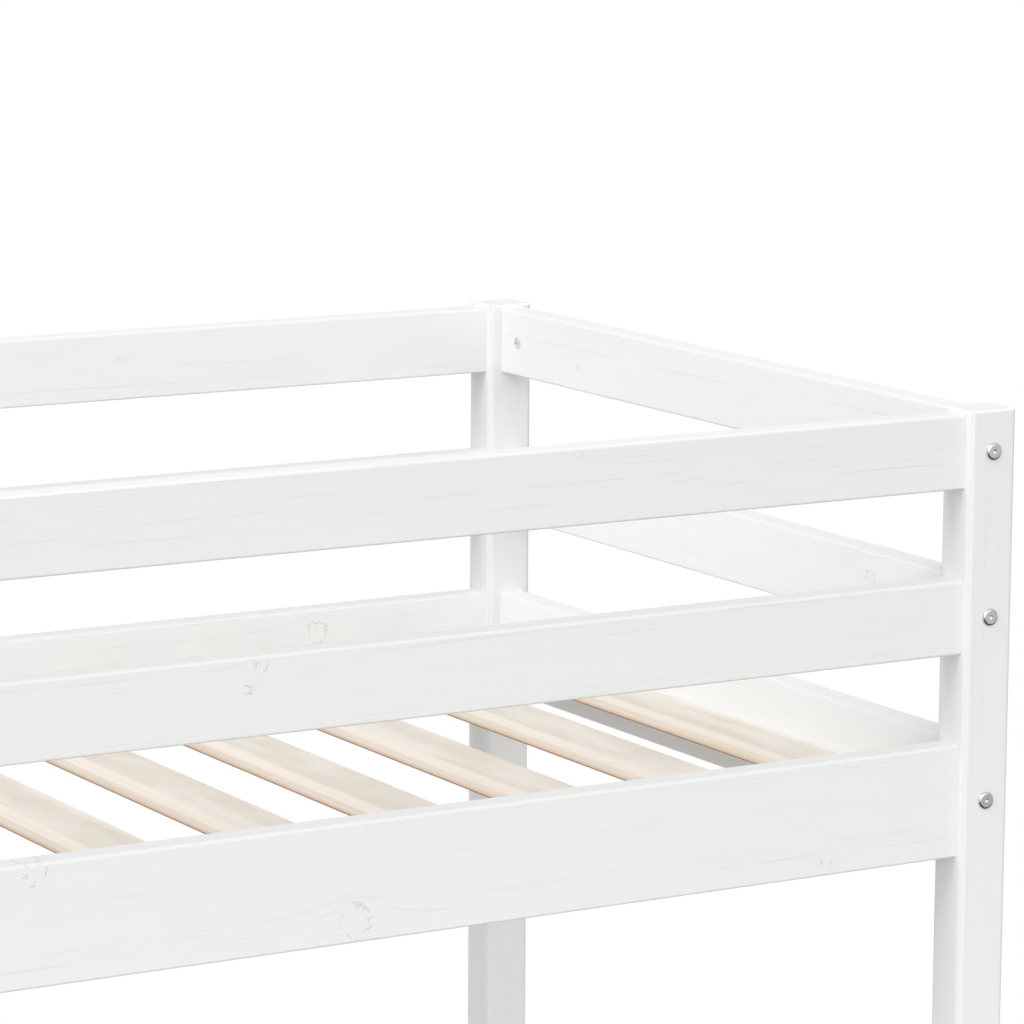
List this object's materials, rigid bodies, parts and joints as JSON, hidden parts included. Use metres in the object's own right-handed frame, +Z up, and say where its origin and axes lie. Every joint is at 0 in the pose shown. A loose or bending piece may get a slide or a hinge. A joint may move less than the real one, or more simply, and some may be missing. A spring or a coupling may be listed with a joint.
{
  "type": "bunk bed with ladder",
  "caption": "Pine bunk bed with guard rails round the upper bunk, slatted bases and a fixed upright ladder.",
  "frame": {"origin": "on the floor, at the middle of the whole footprint, ladder and bolt heads included", "axes": "+X runs along the bed towards the end away from the ladder, -Y is the ladder side, +Z is up"},
  "size_m": [2.0956, 1.0486, 1.604],
  "materials": {
    "white_paint": "white satin paint over pine",
    "bare_pine": "bare planed pine",
    "zinc_steel": "zinc plated",
    "beech": "bare fluted beech"
  },
  "bodies": {
    "root": {"post_front_right": "white_paint", "post_front_left": "white_paint", "post_back_right": "white_paint", "post_back_left": "white_paint", "front_guard_top": "white_paint", "front_guard_mid": "white_paint", "front_side_rail_upper": "white_paint", "front_side_rail_lower": "white_paint", "back_guard_top": "white_paint", "back_guard_mid": "white_paint", "back_side_rail_upper": "white_paint", "back_side_rail_lower": "white_paint", "right_end_guard_top": "white_paint", "right_end_guard_mid": "white_paint", "right_end_rail_upper": "white_paint", "right_end_guard_lower": "white_paint", "right_end_rail_lower": "white_paint", "left_end_guard_top": "white_paint", "left_end_guard_mid": "white_paint", "left_end_rail_upper": "white_paint", "left_end_guard_lower": "white_paint", "left_end_rail_lower": "white_paint", "ladder_stile_right": "white_paint", "ladder_stile_left": "white_paint", "ladder_rung_1": "white_paint", "ladder_rung_2": "white_paint", "ladder_rung_3": "white_paint", "ladder_rung_4": "white_paint", "ladder_rung_5": "white_paint", "ledger_upper_front": "bare_pine", "ledger_upper_back": "bare_pine", "ledger_lower_front": "bare_pine", "ledger_lower_back": "bare_pine", "upper_slat_1": "bare_pine", "upper_slat_2": "bare_pine", "upper_slat_3": "bare_pine", "upper_slat_4": "bare_pine", "upper_slat_5": "bare_pine", "upper_slat_6": "bare_pine", "upper_slat_7": "bare_pine", "upper_slat_8": "bare_pine", "upper_slat_9": "bare_pine", "upper_slat_10": "bare_pine", "upper_slat_11": "bare_pine", "upper_slat_12": "bare_pine", "upper_slat_13": "bare_pine", "lower_slats": "bare_pine", "end_rail_bolts": "zinc_steel", "side_rail_bolts": "zinc_steel", "barrel_nuts": "zinc_steel", "frame_dowels": "beech", "ladder_mount_bolts": "zinc_steel", "ladder_sleeve_nuts": "zinc_steel", "rung_bolts": "zinc_steel", "rung_barrel_nuts": "zinc_steel", "rung_dowels": "beech", "upper_slat_screws": "zinc_steel", "lower_slat_screws": "zinc_steel", "ledger_screws": "zinc_steel"}
  },
  "joints": []
}
